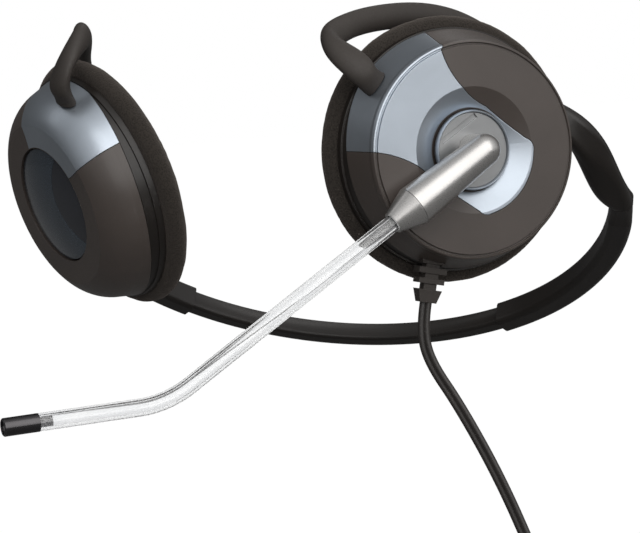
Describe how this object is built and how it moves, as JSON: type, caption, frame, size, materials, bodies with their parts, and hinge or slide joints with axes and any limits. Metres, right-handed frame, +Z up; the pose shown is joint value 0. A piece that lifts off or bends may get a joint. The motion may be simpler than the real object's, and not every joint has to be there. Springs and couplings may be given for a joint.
{
  "type": "office headset",
  "caption": "Behind-the-neck office headset with ear hooks, foam-padded ear cups, a sliding neckband and a clear voice tube on a rotating boom.",
  "frame": {"origin": "midway between the centres of the two ear pads", "axes": "+Z up, the wearer looks along -Y, +X is the wearer's left; the neckband runs round the nape at +Y"},
  "size_m": [0.1566, 0.2067, 0.2499],
  "materials": {
    "band_plastic": "fine texture, satin",
    "cap_plastic": "satin",
    "inlay_silver": "metallic lacquer",
    "steel": "bright zinc",
    "driver_plastic": "plain",
    "magnet": "nickel plated",
    "diaphragm_film": "clear film",
    "board_green": "solder mask",
    "pad_foam": "open-cell foam",
    "hook_rubber": "matte soft-touch",
    "badge_pale": "pearl lacquer",
    "badge_dark": "gloss",
    "barrel_silver": "satin silver lacquer",
    "washer_nylon": "plain",
    "tube_clear": "clear polycarbonate",
    "tip_metal": "dark nickel",
    "mark_white": "paint",
    "relief_rubber": "matte",
    "cord_vinyl": "satin vinyl",
    "plug_brass": "gold plated"
  },
  "bodies": {
    "neckband": {"centre_band": "band_plastic"},
    "left_side": {"left_arm": "band_plastic", "left_hook_arm": "band_plastic", "left_arm_screw": "steel", "left_ear_hook": "hook_rubber", "left_hook_pin": "steel", "left_hook_clip": "steel"},
    "left_cup": {"left_cap": "cap_plastic", "left_inlay_panel": "inlay_silver", "left_back_shell": "band_plastic", "left_cup_screws": "steel", "left_speaker_grille": "band_plastic", "left_driver_frame": "driver_plastic", "left_driver_magnet": "magnet", "left_driver_diaphragm": "diaphragm_film", "left_terminal_board": "board_green", "left_ear_pad": "pad_foam", "strain_relief": "relief_rubber", "cord_lead": "cord_vinyl", "cord_coil": "cord_vinyl", "cord_tail": "cord_vinyl", "cord_tie": "band_plastic", "plug_body": "band_plastic", "plug_jack": "plug_brass"},
    "right_side": {"right_arm": "band_plastic", "right_hook_arm": "band_plastic", "right_arm_screw": "steel", "right_ear_hook": "hook_rubber", "right_hook_pin": "steel", "right_hook_clip": "steel"},
    "right_cup": {"right_cap": "cap_plastic", "right_inlay_panel": "inlay_silver", "right_back_shell": "band_plastic", "right_cup_screws": "steel", "right_speaker_grille": "band_plastic", "right_driver_frame": "driver_plastic", "right_driver_magnet": "magnet", "right_driver_diaphragm": "diaphragm_film", "right_terminal_board": "board_green", "right_ear_pad": "pad_foam", "badge_dome": "badge_pale", "badge_wing": "badge_dark"},
    "boom": {"pivot_disc": "cap_plastic", "pivot_ring": "cap_plastic", "boom_barrel": "barrel_silver", "mic_capsule": "steel", "mic_boot": "hook_rubber", "boom_washer": "washer_nylon"},
    "tube": {"voice_tube": "tube_clear", "tube_collet": "barrel_silver", "tube_tip": "tip_metal", "tip_screen": "steel", "collet_mark": "mark_white"}
  },
  "joints": [
    {"name": "left_slider", "type": "hinge", "parent": "neckband", "child": "left_side", "pos_m": [0, 0.0417, -0.0114], "axis": [0, -0.6157, -0.788], "range_deg": [-8, 12]},
    {"name": "right_slider", "type": "hinge", "parent": "neckband", "child": "right_side", "pos_m": [0, 0.0417, -0.0114], "axis": [0, 0.6157, 0.788], "range_deg": [-6, 6]},
    {"name": "left_cup_swivel", "type": "hinge", "parent": "left_side", "child": "left_cup", "pos_m": [0.03599, -0.02164, 0.01882], "axis": [0.3819, 0.6597, -0.6473], "range_deg": [-3, 10]},
    {"name": "right_cup_swivel", "type": "hinge", "parent": "right_side", "child": "right_cup", "pos_m": [-0.0459, -0.02004, 0.02239], "axis": [0.0395, -0.6067, 0.7939], "range_deg": [-3, 10]},
    {"name": "mic_boom_pivot", "type": "hinge", "parent": "left_cup", "child": "boom", "pos_m": [0.045, 0, 0], "axis": [-0.6494, 0.7604, 0], "range_deg": [-30, 150]},
    {"name": "voice_tube_twist", "type": "hinge", "parent": "boom", "child": "tube", "pos_m": [0.05974, -0.01726, 0], "axis": [-0.6683, -0.5707, -0.4772], "range_deg": [-90, 90]}
  ]
}
